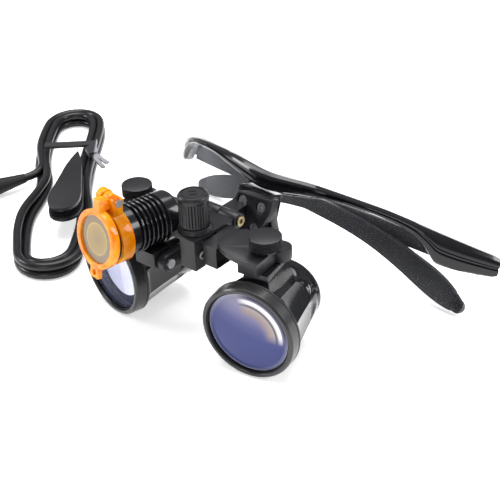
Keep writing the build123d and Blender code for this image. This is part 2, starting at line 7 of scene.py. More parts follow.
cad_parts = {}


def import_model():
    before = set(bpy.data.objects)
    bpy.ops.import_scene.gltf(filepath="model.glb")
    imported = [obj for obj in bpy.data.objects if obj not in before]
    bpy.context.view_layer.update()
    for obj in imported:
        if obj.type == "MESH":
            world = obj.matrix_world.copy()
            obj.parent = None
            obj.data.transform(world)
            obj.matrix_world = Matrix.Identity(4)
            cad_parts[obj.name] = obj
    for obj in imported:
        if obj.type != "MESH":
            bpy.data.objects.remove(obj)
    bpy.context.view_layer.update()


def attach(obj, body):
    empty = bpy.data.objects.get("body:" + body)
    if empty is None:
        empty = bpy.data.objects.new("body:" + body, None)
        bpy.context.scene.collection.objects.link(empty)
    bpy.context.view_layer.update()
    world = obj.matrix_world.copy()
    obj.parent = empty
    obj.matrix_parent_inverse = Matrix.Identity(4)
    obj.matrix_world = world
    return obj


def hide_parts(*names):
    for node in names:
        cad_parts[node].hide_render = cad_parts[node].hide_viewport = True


# Flip-up dental loupes on a half-rim frame, with headlight, amber filter and coiled lead.
# Shapes are written in millimetres in the CAD's own drawing directions, then moved by SHIFT.
# +X is the wearer's left, -Y the way the wearer looks, +Z up. Profiles are (radius, distance from the front).

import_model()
MM = 0.001
SHIFT = Vector((-1.44, -34.8, 0.25))

POST_X, POST_Y = 29.2, 14.8             # each barrel's pivot: out from the middle, and behind the front faces
TOE = 10.8                              # the barrels point outward, degrees
AXIS_Z = 17.0                           # height of the barrels' optical axes
LENS_R = 14.8                           # front lens
LENS_BULGE = 1.9                        # how far the front lens's middle stands out from its edge
LENS_FRONT = -0.4                       # the front lens's middle, ahead of the front ring
KNOB_X, KNOB_Y = 2.2, 10.4              # centre knob
FILTER_PIN = (0.0, -12.9, 13.4)         # the filter's pin, from the lamp's middle
FILTER_AJAR = 6.0                       # the filter's cover hangs a little open at rest, degrees
FILTER_R = 8.85                         # the filter's disc
CORD_R = 1.75                           # lead


# ---------------------------------------------------------------- placing
def at(x, y, z):
    return Matrix.Translation((x, y, z))


def turn(degrees, axis):
    return Matrix.Rotation(math.radians(degrees), 4, axis)


def barrel_at(side):
    x = POST_X + POST_Y * math.tan(math.radians(TOE))
    return at(side * x, 0, AXIS_Z) @ turn(side * TOE, "Z")


LAMP_AT = at(-15.4, 3.4, 41.0) @ turn(-8.0, "Z") @ turn(-4.0, "X")
FRAME_AT = at(0, 51, 45) @ turn(-2.6, "Z") @ turn(-20.0, "X")
COVER_AT = LAMP_AT @ at(*FILTER_PIN) @ turn(-FILTER_AJAR, "X") @ at(*(-c for c in FILTER_PIN))
HANK_AT = at(-66.0, 2.0, -0.25) @ turn(180 - math.degrees(math.atan(99.5 / 88.0)), "Z")
PLUG_AT = at(-129.6, 42.6, 4.2) @ turn(163.0, "Z")


def world(place, p):
    return (place @ Vector(p) + SHIFT) * MM


# ---------------------------------------------------------------- materials
class Nodes:
    """A small helper that adds shader nodes and links them."""

    def __init__(self, name):
        self.mat = bpy.data.materials.new(name)
        self.mat.use_nodes = True
        self.tree = self.mat.node_tree
        self.bsdf = self.tree.nodes["Principled BSDF"]
        self.out = self.tree.nodes["Material Output"]

    def add(self, kind, **values):
        node = self.tree.nodes.new(kind)
        for key, value in values.items():
            if key in node.inputs:
                node.inputs[key].default_value = value
            else:
                setattr(node, key, value)
        return node

    def link(self, a, b):
        self.tree.links.new(a, b)

    def set(self, **values):
        for key, value in values.items():
            self.bsdf.inputs[key.replace("_", " ")].default_value = value

    def noise(self, scale, detail=4.0, rough=0.6):
        coord = self.add("ShaderNodeTexCoord")
        noise = self.add("ShaderNodeTexNoise", Scale=scale, Detail=detail, Roughness=rough)
        self.link(coord.outputs["Object"], noise.inputs["Vector"])
        return noise

    def ramp(self, source, stops):
        ramp = self.add("ShaderNodeValToRGB")
        bar = ramp.color_ramp
        while len(bar.elements) < len(stops):
            bar.elements.new(0.5)
        for spot, (place, colour) in zip(bar.elements, stops):
            spot.position = place
            spot.color = (*colour, 1.0)
        self.link(source, ramp.inputs["Fac"])
        return ramp

    def spread(self, source, low, high):
        node = self.add("ShaderNodeMapRange")
        node.inputs["To Min"].default_value = low
        node.inputs["To Max"].default_value = high
        self.link(source, node.inputs["Value"])
        return node.outputs["Result"]

    def bump(self, height, strength, distance):
        node = self.add("ShaderNodeBump", Strength=strength, Distance=distance)
        self.link(height, node.inputs["Height"])
        self.link(node.outputs["Normal"], self.bsdf.inputs["Normal"])


GRAIN_DEPTH = 0.00002       # metres


def grained(name, dark, light, rough, grain=1800.0, bump=0.2, coat=0.0, shine=0.2):
    """Painted, moulded or anodised surface: slow colour drift, fine grain in roughness and relief."""
    n = Nodes(name)
    slow = n.noise(60.0, 3.0)
    fine = n.noise(grain, 3.0, 0.7)
    tint = n.ramp(slow.outputs["Fac"], [(0.3, dark), (0.7, light)])
    n.link(tint.outputs["Color"], n.bsdf.inputs["Base Color"])
    n.link(n.spread(fine.outputs["Fac"], rough[0], rough[1]), n.bsdf.inputs["Roughness"])
    n.bump(fine.outputs["Fac"], bump, GRAIN_DEPTH)
    n.set(Coat_Weight=coat, Coat_Roughness=0.06, Specular_IOR_Level=shine)
    return n.mat


def brushed(name, colour):
    """Bare metal with fine streaks across its Z direction."""
    n = Nodes(name)
    coord = n.add("ShaderNodeTexCoord")
    squeeze = n.add("ShaderNodeMapping")
    squeeze.inputs["Scale"].default_value = (300.0, 300.0, 9000.0)
    streak = n.add("ShaderNodeTexNoise", Scale=1.0, Detail=4.0)
    n.link(coord.outputs["Object"], squeeze.inputs["Vector"])
    n.link(squeeze.outputs["Vector"], streak.inputs["Vector"])
    low = tuple(c * 0.8 for c in colour)
    tint = n.ramp(streak.outputs["Fac"], [(0.3, low), (0.7, colour)])
    n.link(tint.outputs["Color"], n.bsdf.inputs["Base Color"])
    n.link(n.spread(streak.outputs["Fac"], 0.22, 0.4), n.bsdf.inputs["Roughness"])
    n.bump(streak.outputs["Fac"], 0.1, 0.00001)
    n.set(Metallic=1.0)
    return n.mat


def radial(n, place, radius):
    """Distance from a piece's own axis, 0 at the middle and 1 at radius."""
    middle = world(place, (0, 0, 0))
    axis = (place.to_3x3() @ Vector((0, 1, 0))).normalized()
    coord = n.add("ShaderNodeTexCoord")
    away = n.add("ShaderNodeVectorMath", operation="SUBTRACT")
    n.link(coord.outputs["Object"], away.inputs[0])
    away.inputs[1].default_value = middle
    cross = n.add("ShaderNodeVectorMath", operation="CROSS_PRODUCT")
    n.link(away.outputs["Vector"], cross.inputs[0])
    cross.inputs[1].default_value = axis
    size = n.add("ShaderNodeVectorMath", operation="LENGTH")
    n.link(cross.outputs["Vector"], size.inputs[0])
    scaled = n.add("ShaderNodeMath", operation="MULTIPLY")
    n.link(size.outputs["Value"], scaled.inputs[0])
    scaled.inputs[1].default_value = 1.0 / (radius * MM)
    return scaled.outputs["Value"]


def along(n, place, direction, radius):
    """Distance from a piece's middle along one of its own directions, as a share of radius."""
    middle = world(place, (0, 0, 0))
    coord = n.add("ShaderNodeTexCoord")
    away = n.add("ShaderNodeVectorMath", operation="SUBTRACT")
    n.link(coord.outputs["Object"], away.inputs[0])
    away.inputs[1].default_value = middle
    dot = n.add("ShaderNodeVectorMath", operation="DOT_PRODUCT")
    n.link(away.outputs["Vector"], dot.inputs[0])
    dot.inputs[1].default_value = (place.to_3x3() @ Vector(direction)).normalized() / (radius * MM)
    return dot.outputs["Value"]


def mix_colour(n, share, a, b):
    """Colour a where share is 0, and colour b where it is 1."""
    mix = n.add("ShaderNodeMix", data_type="RGBA")
    n.link(share, mix.inputs["Factor"])
    n.link(a, mix.inputs["A"])
    n.link(b, mix.inputs["B"])
    return mix.outputs["Result"]


def coated_lens_painted_reflection(name, place):
    """Coated front lens: deep blue coating colour, with painted reflections: paler towards the top, a warm
    and a white painted crescent at its upper outer rim, and a painted highlight on its edge.
    """
    n = Nodes(name)
    # Painted reflection: the blue turns paler and warmer towards the lens's top.
    height = along(n, place, (0.25, 0, 0.97), LENS_R)
    body = n.ramp(n.spread(height, 0.5, 1.0), [
        (0.0, (0.022, 0.042, 0.15)), (0.45, (0.028, 0.04, 0.16)), (0.62, (0.07, 0.075, 0.2)),
        (0.8, (0.2, 0.19, 0.3)), (1.0, (0.3, 0.27, 0.33))])
    fac = radial(n, place, LENS_R)
    # Painted highlight: a pale grey-violet thin band along the lens's outer edge.
    rim = n.ramp(fac, [(0.0, (0, 0, 0)), (0.9, (0, 0, 0)), (0.96, (0.3, 0.3, 0.3)), (1.0, (0.8, 0.8, 0.8))])
    pale = n.add("ShaderNodeRGB")
    pale.outputs["Color"].default_value = (0.4, 0.4, 0.5, 1.0)
    body = mix_colour(n, rim.outputs["Color"], body.outputs["Color"], pale.outputs["Color"])
    # Painted reflection: warm, white and dark arcs, kept to the lens's upper outer side by the mask below.
    painted_reflection_arc = n.ramp(fac, [
        (0.45, (0.16, 0.16, 0.27)), (0.62, (0.30, 0.23, 0.20)), (0.71, (0.34, 0.30, 0.30)),
        (0.75, (0.03, 0.03, 0.06)), (0.81, (0.9, 0.86, 0.82)), (0.86, (0.96, 0.95, 0.96)),
        (0.885, (0.16, 0.15, 0.22)), (0.94, (0.02, 0.02, 0.04)), (1.0, (0.2, 0.2, 0.3))])
    side = along(n, place, (0.64, 0, 0.77), LENS_R)
    turned = n.add("ShaderNodeMath", operation="DIVIDE")
    n.link(side, turned.inputs[0])
    n.link(fac, turned.inputs[1])
    reflection_side_mask = n.ramp(turned.outputs["Value"], [(0.0, (0, 0, 0)), (0.55, (0, 0, 0)), (0.8, (1, 1, 1))])
    inner = n.ramp(fac, [(0.0, (0, 0, 0)), (0.42, (0, 0, 0)), (0.6, (1, 1, 1))])
    both = n.add("ShaderNodeMath", operation="MULTIPLY")
    n.link(reflection_side_mask.outputs["Color"], both.inputs[0])
    n.link(inner.outputs["Color"], both.inputs[1])
    colour = mix_colour(n, both.outputs["Value"], body, painted_reflection_arc.outputs["Color"])
    n.link(colour, n.bsdf.inputs["Base Color"])
    cloud = n.noise(40.0, 2.0)
    n.link(n.spread(cloud.outputs["Fac"], 0.1, 0.16), n.bsdf.inputs["Roughness"])
    n.set(Metallic=0.1, Coat_Weight=0.2, Coat_Roughness=0.03, Specular_IOR_Level=0.15)
    return n.mat


def clear(name, gloss, tint=(1, 1, 1), rough=0.02):
    """Thin clear sheet: seen straight through, with a soft reflection and a darker rim."""
    n = Nodes(name)
    n.set(Roughness=rough, Base_Color=(0.55, 0.58, 0.62, 1.0))
    see = n.add("ShaderNodeBsdfTransparent")
    see.inputs["Color"].default_value = (*tint, 1.0)
    facing = n.add("ShaderNodeLayerWeight", Blend=0.12)
    much = n.add("ShaderNodeMath", operation="MULTIPLY")
    n.link(facing.outputs["Facing"], much.inputs[0])
    much.inputs[1].default_value = gloss
    mix = n.add("ShaderNodeMixShader")
    n.link(much.outputs["Value"], mix.inputs["Fac"])
    n.link(see.outputs["BSDF"], mix.inputs[1])
    n.link(n.bsdf.outputs["BSDF"], mix.inputs[2])
    n.link(mix.outputs["Shader"], n.out.inputs["Surface"])
    return n.mat


def see_through(n, share, colour):
    """Lets a share of the light straight through, tinted."""
    through = n.add("ShaderNodeBsdfTransparent")
    through.inputs["Color"].default_value = (*colour, 1.0)
    mix = n.add("ShaderNodeMixShader", Fac=share)
    n.link(n.bsdf.outputs["BSDF"], mix.inputs[1])
    n.link(through.outputs["BSDF"], mix.inputs[2])
    n.link(mix.outputs["Shader"], n.out.inputs["Surface"])


def amber(name, see):
    """Translucent amber plastic: glossy, with deeper and paler patches."""
    n = Nodes(name)
    slow = n.noise(170.0, 3.0)
    tint = n.ramp(slow.outputs["Fac"], [
        (0.36, (0.88, 0.20, 0.0)), (0.5, (0.92, 0.33, 0.003)), (0.66, (0.95, 0.46, 0.02))])
    n.link(tint.outputs["Color"], n.bsdf.inputs["Base Color"])
    fine = n.noise(1500.0, 3.0)
    n.link(n.spread(fine.outputs["Fac"], 0.12, 0.22), n.bsdf.inputs["Roughness"])
    n.bump(fine.outputs["Fac"], 0.1, GRAIN_DEPTH)
    n.set(Coat_Weight=0.3, Coat_Roughness=0.08, Specular_IOR_Level=0.3)
    n.set(Subsurface_Weight=0.15, Subsurface_Scale=0.002, Subsurface_Radius=(1.0, 0.45, 0.05))
    see_through(n, see, (1.0, 0.6, 0.1))
    return n.mat


def amber_disc(name, place):
    """The filter's disc: a smoky beige sheet, tinted as if the lamp's round lens showed through it."""
    n = Nodes(name)
    fac = radial(n, place, FILTER_R)
    tint = n.ramp(fac, [
        (0.0, (0.34, 0.24, 0.10)), (0.56, (0.40, 0.29, 0.10)), (0.62, (0.58, 0.43, 0.12)),
        (0.66, (0.27, 0.21, 0.12)), (0.9, (0.25, 0.2, 0.12)), (0.97, (0.7, 0.42, 0.05)),
        (1.0, (0.85, 0.4, 0.02))])
    n.link(tint.outputs["Color"], n.bsdf.inputs["Base Color"])
    fine = n.noise(1500.0, 3.0)
    n.link(n.spread(fine.outputs["Fac"], 0.15, 0.25), n.bsdf.inputs["Roughness"])
    n.set(Coat_Weight=0.4, Coat_Roughness=0.05)
    see_through(n, 0.3, (0.9, 0.7, 0.4))
    return n.mat


def see_lens(name, place):
    """The other front lens, seen through to the light behind, with a painted violet reflection of its coating
    on its outer half.
    """
    n = Nodes(name)
    across = along(n, place, (1, 0, 0.1), LENS_R)
    # Painted reflection: the light let through turns violet towards one side of the lens.
    tint = n.ramp(n.spread(across, 0.5, 1.0), [
        (0.0, (0.2, 0.22, 0.4)), (0.36, (0.3, 0.32, 0.5)), (0.55, (0.88, 0.88, 0.93)),
        (1.0, (0.98, 0.98, 1.0))])
    see = n.add("ShaderNodeBsdfTransparent")
    n.link(tint.outputs["Color"], see.inputs["Color"])
    n.set(Base_Color=(0.3, 0.32, 0.5, 1.0), Metallic=0.5, Roughness=0.06)
    facing = n.add("ShaderNodeLayerWeight", Blend=0.06)
    mix = n.add("ShaderNodeMixShader")
    n.link(facing.outputs["Facing"], mix.inputs["Fac"])
    n.link(see.outputs["BSDF"], mix.inputs[1])
    n.link(n.bsdf.outputs["BSDF"], mix.inputs[2])
    n.link(mix.outputs["Shader"], n.out.inputs["Surface"])
    return n.mat


def tie_material():
    """Wire tie: black where it wraps the cord, pale grey at its twisted ends."""
    n = Nodes("tie_wire")
    across = along(n, HANK_AT @ at(0, -9.5, 0), (0, 1, 0), 1.0)
    tint = n.ramp(n.spread(across, 0.0, 1.0), [
        (0.0, (0.24, 0.24, 0.26)), (0.5, (0.2, 0.2, 0.22)), (1.0, (0.012, 0.012, 0.013))])
    n.link(tint.outputs["Color"], n.bsdf.inputs["Base Color"])
    fine = n.noise(1500.0, 2.0)
    n.link(n.spread(fine.outputs["Fac"], 0.35, 0.5), n.bsdf.inputs["Roughness"])
    return n.mat


def glowing_painted_light(name, colour, strength):
    """A surface that gives off a soft light of its own: painted light on a part that is no lamp."""
    n = Nodes(name)
    cloud = n.noise(90.0, 2.0)
    tint = n.ramp(cloud.outputs["Fac"], [(0.3, tuple(c * 0.92 for c in colour)), (0.7, colour)])
    n.link(tint.outputs["Color"], n.bsdf.inputs["Base Color"])
    n.link(tint.outputs["Color"], n.bsdf.inputs["Emission Color"])
    n.set(Roughness=0.5, Emission_Strength=strength)
    return n.mat


MAT = {
    "brow": grained("brow_gloss", (0.004, 0.004, 0.005), (0.008, 0.008, 0.01), (0.12, 0.2),
                    grain=900, bump=0.05, coat=0.35),
    "temple": grained("temple_matt", (0.009, 0.009, 0.011), (0.016, 0.016, 0.019), (0.3, 0.42),
                      grain=2600, bump=0.2, shine=0.3),
    "tipcap": grained("tip_cap", (0.006, 0.006, 0.006), (0.01, 0.01, 0.01), (0.25, 0.35)),
    "block": grained("block_satin", (0.007, 0.007, 0.008), (0.014, 0.014, 0.016), (0.3, 0.42),
                     grain=3200, bump=0.3, shine=0.3),
    "knob": grained("knob_satin", (0.006, 0.006, 0.007), (0.012, 0.012, 0.014), (0.3, 0.42),
                    grain=2800, bump=0.3, shine=0.35),
    "barrel": grained("barrel_gloss", (0.004, 0.004, 0.005), (0.008, 0.008, 0.009), (0.1, 0.16),
                      grain=1400, bump=0.06, coat=0.4),
    "ring": grained("ring_satin", (0.012, 0.012, 0.013), (0.02, 0.02, 0.021), (0.24, 0.34),
                    grain=3000, bump=0.15, shine=0.5),
    "innerring": grained("inner_ring", (0.003, 0.003, 0.003), (0.006, 0.006, 0.007), (0.25, 0.35), shine=0.1),
    "lamp": grained("lamp_gloss", (0.006, 0.006, 0.008), (0.012, 0.012, 0.015), (0.16, 0.26),
                    grain=2000, bump=0.1, coat=0.3),
    "cable": grained("cable_skin", (0.006, 0.006, 0.007), (0.011, 0.011, 0.012), (0.24, 0.34),
                     grain=1600, bump=0.12, shine=0.3),
    "rubber": grained("rubber_matt", (0.008, 0.008, 0.008), (0.014, 0.014, 0.014), (0.45, 0.6), bump=0.3),
    "clip": grained("clip_plastic", (0.008, 0.008, 0.009), (0.014, 0.014, 0.016), (0.3, 0.42),
                    grain=2200, bump=0.25, shine=0.3),
    "tie": tie_material(),
    # Painted reflection: the steel set screw is a pale matt grey, lighter than bare steel, standing in for
    # its bright reflection.
    "pale_painted_reflection": grained("set_screw_painted_reflection", (0.35, 0.35, 0.36), (0.45, 0.45, 0.46), (0.3, 0.4)),
    "board": grained("lamp_board", (0.4, 0.36, 0.26), (0.55, 0.5, 0.4), (0.3, 0.5)),
    "steel": brushed("steel", (0.62, 0.62, 0.64)),
    "bronze": brushed("bronze", (0.42, 0.34, 0.2)),
    "plug": brushed("plug_metal", (0.7, 0.7, 0.72)),
    "lens": clear("clear_lens", 0.5),
    "pad": clear("pad_clear", 0.5, tint=(0.95, 0.95, 0.95), rough=0.3),
    "eyeglass": clear("eye_glass", 0.6, tint=(0.93, 0.95, 1.0)),
    "lampglass": clear("lamp_glass", 0.9, tint=(1.0, 0.99, 0.95)),
    "coated": coated_lens_painted_reflection("coated_left_painted_reflection", barrel_at(1)),
    "seen": see_lens("seen_right_painted_reflection", barrel_at(-1)),
    # Painted light: the right barrel's inner liner glows, standing in for light falling into the barrel.
    "liner": glowing_painted_light("liner_painted_glow", (0.9, 0.91, 0.93), 0.55),
    "amber": amber("amber_plastic", 0.25),
    "amberband": amber("amber_clear", 0.5),
    "amberglass": amber_disc("amber_disc", COVER_AT),
}


# ---------------------------------------------------------------- mesh making
def finish_mesh(name, bm, place, body, nodes, mat, angle):
    """Moves a mesh to its place and makes it a piece on a body, which may stand for some CAD nodes."""
    for v in bm.verts:
        v.co = world(place, v.co)
    bmesh.ops.recalc_face_normals(bm, faces=bm.faces)
    me = bpy.data.meshes.new(name)
    bm.to_mesh(me)
    bm.free()
    for p in me.polygons:
        p.use_smooth = True
    me.set_sharp_from_angle(angle=math.radians(angle))
    ob = bpy.data.objects.new(name, me)
    bpy.context.scene.collection.objects.link(ob)
    me.materials.append(MAT[mat])
    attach(ob, body)
    if nodes:
        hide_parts(*nodes)


def keep_cad(node, mat):
    """Keeps a CAD node and gives it a material."""
    ob = bpy.data.objects[node]
    if not ob.material_slots:
        ob.data.materials.append(MAT[mat])
    for spot in ob.material_slots:
        spot.material = MAT[mat]


def bevelled(node, body, mat, width):
    """A copy of a CAD node with its hard edges rounded, which stands for the node."""
    src = bpy.data.objects[node]
    bm = bmesh.new()
    bm.from_mesh(src.data)
    bmesh.ops.remove_doubles(bm, verts=bm.verts, dist=1e-7)
    bmesh.ops.dissolve_limit(bm, angle_limit=math.radians(1.0), verts=bm.verts, edges=bm.edges)
    me = bpy.data.meshes.new(node + "_made")
    bm.to_mesh(me)
    bm.free()
    for p in me.polygons:
        p.use_smooth = True
    ob = bpy.data.objects.new(node + "_made", me)
    bpy.context.scene.collection.objects.link(ob)
    mod = ob.modifiers.new("bevel", "BEVEL")
    mod.width = width * MM
    mod.segments = 3
    mod.limit_method = "ANGLE"
    mod.angle_limit = math.radians(35)
    mod.harden_normals = True
    mod.use_clamp_overlap = True
    me.materials.append(MAT[mat])
    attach(ob, body)
    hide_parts(node)


def skin(bm, rows, wrap=True, close=False):
    """Faces between rows of points; wrap joins the last row to the first, close joins each row's ends."""
    made = [[bm.verts.new(p) for p in row] for row in rows]
    count = len(made[0])
    last = len(made) if wrap else len(made) - 1
    for i in range(last):
        a, b = made[i], made[(i + 1) % len(made)]
        for j in range(count if close else count - 1):
            k = (j + 1) % count
            bm.faces.new((a[j], a[k], b[k], b[j]))
    return made


def lathe(name, profile, place, body, nodes, mat, axis="Y", count=96, radius=None, angle=32):
    """A turned piece about Y or Z, from (radius, along) points; radius(r, s, t) may vary the surface."""
    bm = bmesh.new()
    rows = []
    for i in range(count):
        t = 2 * math.pi * i / count
        row = []
        for r, s in profile:
            if radius:
                r = radius(r, s, t)
            c, d = r * math.cos(t), r * math.sin(t)
            row.append((c, s, d) if axis == "Y" else (c, d, s))
        rows.append(row)
    skin(bm, rows)
    bmesh.ops.remove_doubles(bm, verts=bm.verts, dist=1e-5)
    finish_mesh(name, bm, place, body, nodes, mat, angle)


def rounded(profile, cut):
    """Rounds each corner of an open profile with four points near it."""
    out = [profile[0]]
    for p, q, r in zip(profile, profile[1:], profile[2:]):
        for other, share in ((p, 1.0), (p, 0.35), (r, 0.35), (r, 1.0)):
            dx, dy = other[0] - q[0], other[1] - q[1]
            far = math.hypot(dx, dy)
            step = min(cut, 0.45 * far) * share
            out.append((q[0] + dx / far * step, q[1] + dy / far * step))
    return out + [profile[-1]]


def loft(name, sections, place, body, nodes, mat, angle=32):
    """A closed piece through a row of outlines."""
    bm = bmesh.new()
    rows = skin(bm, sections, wrap=False, close=True)
    bm.faces.new(rows[0][::-1])
    bm.faces.new(rows[-1])
    finish_mesh(name, bm, place, body, nodes, mat, angle)


# ---------------------------------------------------------------- camera
CAMERA_AT = (0.24836, -0.2745, 0.25145)              # metres
CAMERA_AROUND, CAMERA_ABOVE, CAMERA_ROLL = 41.80, 31.93, -2.806     # degrees
FOCAL_LENGTH, SENSOR = 88.19, 36.0


def make_camera():
    """The photograph's camera, solved from the photograph: round to the wearer's left, above, and rolled."""
    cam = bpy.data.objects.new("camera", bpy.data.cameras.new("camera"))
    bpy.context.scene.collection.objects.link(cam)
    az, el, roll = (math.radians(a) for a in (CAMERA_AROUND, CAMERA_ABOVE, CAMERA_ROLL))
    side = Vector((math.cos(az), math.sin(az), 0))
    back = Vector((math.sin(az) * math.cos(el), -math.cos(az) * math.cos(el), math.sin(el)))
    lift = back.cross(side)
    right = math.cos(roll) * side + math.sin(roll) * lift
    up = -math.sin(roll) * side + math.cos(roll) * lift
    basis = Matrix((right, up, back)).transposed().to_4x4()
    basis.translation = Vector(CAMERA_AT)
    cam.matrix_world = basis
    cam.data.lens = FOCAL_LENGTH
    cam.data.sensor_width = SENSOR
    cam.data.clip_start = 0.02
    cam.data.clip_end = 20
    bpy.context.scene.camera = cam


make_camera()


# ---------------------------------------------------------------- lead
# The outer edge of the put-away turns, in the fold's own directions: (along, across) on its two long sides,
# and (along, across, radius) for the rounds at its ends.
LEFT_SIDE = ((17, 18.1), (30, 19.7), (44, 19.9), (58, 16.8), (72, 15.4), (86, 18.8), (101, 19.6), (115, 19.0))
RIGHT_SIDE = ((17, -12.0), (30, -12.7), (44, -11.6), (58, -9.0), (72, -8.2), (86, -8.7), (101, -9.6),
              (115, -10.3))
NEAR_END = (10.8, 2.9, 14.4)
FAR_END = (121.8, 4.3, 14.2)
ROUND = 4                                # points round each end
TURN = 2 * (ROUND + len(RIGHT_SIDE))     # points in one turn
FLOOR_Z, TOP_Z = 1.85, 5.45              # middle of the lower and the upper layer of turns
OUTER, INNER, OUTER_TOP = 1.8, 5.35, 1.9 # how far a turn's middle lies in from the edge


def eased(low, high, x):
    """0 up to low, 1 from high on, and smooth between them."""
    x = max(0.0, min(1.0, (x - low) / (high - low)))
    return x * x * (3 - 2 * x)


def hank_point(i, gap, up):
    """One point of a turn: round the near end, up the right side, round the far end and down the left."""
    far_half, j = divmod((i + ROUND // 2) % TURN, TURN // 2)
    sign = 1 if far_half else -1
    if j < ROUND:
        x, y, radius = FAR_END if far_half else NEAR_END
        a = math.pi / ROUND * (j - (ROUND - 1) / 2)
        reach = sign * (radius - gap)
        return (x + reach * math.cos(a), y + reach * math.sin(a), up)
    x, y = (LEFT_SIDE[::-1] if far_half else RIGHT_SIDE)[j - ROUND]
    return (x, y - sign * gap, up)


def hank_turns():
    """The put-away turns: an outer and an inner one on the floor, and two more on top of them."""
    points = []
    for k in range(ROUND // 2, 3 * TURN + 2 * len(RIGHT_SIDE)):
        number, i = divmod(k, TURN)
        share = i / TURN
        inward = OUTER + (INNER - OUTER) * eased(0, 0.125, share)
        outward = INNER - (INNER - OUTER_TOP) * eased(0.68, 0.82, share)
        rise = FLOOR_Z + (TOP_Z - FLOOR_Z) * eased(0.8, 1.0, share)
        gap = (OUTER, inward, outward, OUTER_TOP)[number]
        up = (FLOOR_Z, rise, TOP_Z, TOP_Z)[number]
        points.append(hank_point(i, gap, up))
    return points


def make_lead():
    """The whole lead as one cord: down from the lamp, over the floor, round its turns, out to the plug."""
    lamp = LAMP_AT @ Vector((-3.6, 22.0, -4.2))
    route = [tuple(lamp), (-15.1, 30.8, 34.6), (-15.0, 36.2, 31.0), (-15.3, 39.0, 25.0), (-18.6, 40.0, 18.0)]
    route += [(-26.0, 38.6, 10.8), (-35.0, 35.6, 4.9), (-45.5, 31.5, 1.6), (-55.5, 25.5, 1.6)]
    route += [tuple(HANK_AT @ Vector(p)) for p in [(12.0, -17.0, FLOOR_Z)] + hank_turns()]
    route += [tuple(HANK_AT @ Vector(p)) for p in ((89.5, 15.6, 5.4), (81.0, 13.9, 5.1))]
    route += [tuple(PLUG_AT @ Vector((0, y, 0))) for y in (-4.4, 2.0)]
    data = bpy.data.curves.new("lead", "CURVE")
    data.dimensions = "3D"
    data.bevel_depth = CORD_R * MM
    data.bevel_resolution = 6
    data.resolution_u = 8
    line = data.splines.new("NURBS")
    line.points.add(len(route) - 1)
    for point, spot in zip(line.points, route):
        point.co = (*((Vector(spot) + SHIFT) * MM), 1.0)
    line.order_u = 3
    line.use_endpoint_u = True
    data.use_fill_caps = True
    data.materials.append(MAT["cable"])
    ob = bpy.data.objects.new("lead", data)
    bpy.context.scene.collection.objects.link(ob)
    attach(ob, "frame")
    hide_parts("cable_lead", "cable_hank")
    return ob, Vector(route[0])


LEAD, LEAD_FROM = make_lead()


# ---------------------------------------------------------------- CAD nodes kept as they are
for side_name in ("left", "right"):
    keep_cad("clear_lens_" + side_name, "lens")
    keep_cad("temple_pin_" + side_name, "steel")
    keep_cad("eye_lens_" + side_name, "eyeglass")
    keep_cad("eye_ring_" + side_name, "barrel")
for i in (1, 2, 3):
    keep_cad("plate_screw_%d" % i, "steel")
for node, mat in (("hinge_pin", "bronze"), ("clip_pin", "steel"), ("filter_pin", "steel"),
                  # The set screw gets the pale grey of painted reflection.
                  ("lamp_screw", "steel"), ("set_screw", "pale_painted_reflection"), ("plug_sleeve", "plug"),
                  ("lamp_board", "board"), ("lamp_lens", "lampglass"), ("plug_body", "rubber"),
                  ("cable_relief", "rubber"), ("filter_glass", "amberglass"), ("twist_tie", "tie")):
    keep_cad(node, mat)

for node, body, mat, slot, width in (
    ("flip_block", "flip", "block", "satin_black_metal", 0.22),
    ("lamp_arm", "flip", "block", "satin_black_metal", 0.3),
    ("filter_cover", "filter", "amber", "amber", 0.35),
    ("filter_band", "headlight", "amberband", "amber", 0.25),
    ("clip_base", "frame", "clip", "clip_black", 0.4),
    ("clip_jaw", "clip_jaw", "clip", "clip_black", 0.6),
    ("slide_arm_left", "slide_left", "block", "satin_black_metal", 0.22),
    ("slide_arm_right", "slide_right", "block", "satin_black_metal", 0.22),
    ("lamp_foot", "headlight", "block", "satin_black_metal", 0.3),
    ("hinge_base", "frame", "block", "satin_black_metal", 0.25),
    ("mount_plate", "frame", "block", "satin_black_metal", 0.25),
    ("nose_bridge", "frame", "brow", "frame_gloss_black", 0.4),
    ("nose_pad_left", "frame", "pad", "nose_pad", 0.2),
    ("nose_pad_right", "frame", "pad", "nose_pad", 0.2),
    ("temple_left", "temple_left", "temple", "temple_matt", 0.5),
    ("temple_right", "temple_right", "temple", "temple_matt", 0.5),
    ("temple_tip_left", "temple_left", "tipcap", "temple_matt", 0.5),
    ("temple_tip_right", "temple_right", "tipcap", "temple_matt", 0.5),
):
    bevelled(node, body, mat, width)


# ---------------------------------------------------------------- loupe barrels
PANELS = 10                               # flat panels round a barrel
PANELS_FROM = 5.6                         # they start behind the front ring
BODY_FROM, BODY_TO = 6.2, 27.4            # the tapering stretch of a barrel, from the front
BODY_FRONT_R, BODY_BACK_R = 16.4, 12.3    # its radius at both ends


def flute(r, s, t):
    """The barrel's outer radius: flat panels with crisp ridges, ending in a rounded shoulder at the back."""
    if s < PANELS_FROM or s > BODY_TO or r < 11.8:
        return r
    step = 2 * math.pi / PANELS
    off = (t + step / 2) % step - step / 2
    flat = math.cos(step / 2) / math.cos(off)
    end = 25.6 - 3.4 * (off / (step / 2)) ** 2
    fade = min(1.0, max(0.0, (end - s) / 2.2)) * min(1.0, (s - PANELS_FROM) / 1.6)
    fade = fade * fade * (3 - 2 * fade)
    return r * (1 + 1.35 * (flat - 1) * fade)


def front_ring(spot, name):
    profile = [(15.15, 0.7), (15.5, 0.0), (16.4, 0.0), (17.0, 0.65), (17.1, 4.3), (16.75, 4.5),
               (16.75, 4.8), (17.15, 5.0), (17.15, 5.5), (15.4, 5.5), (15.4, 4.4), (15.15, 4.4)]
    lathe("front_ring_%s_made" % name, rounded(profile, 0.12) + [profile[0]], spot, "barrel_" + name,
          ["front_ring_" + name], "ring", count=128)


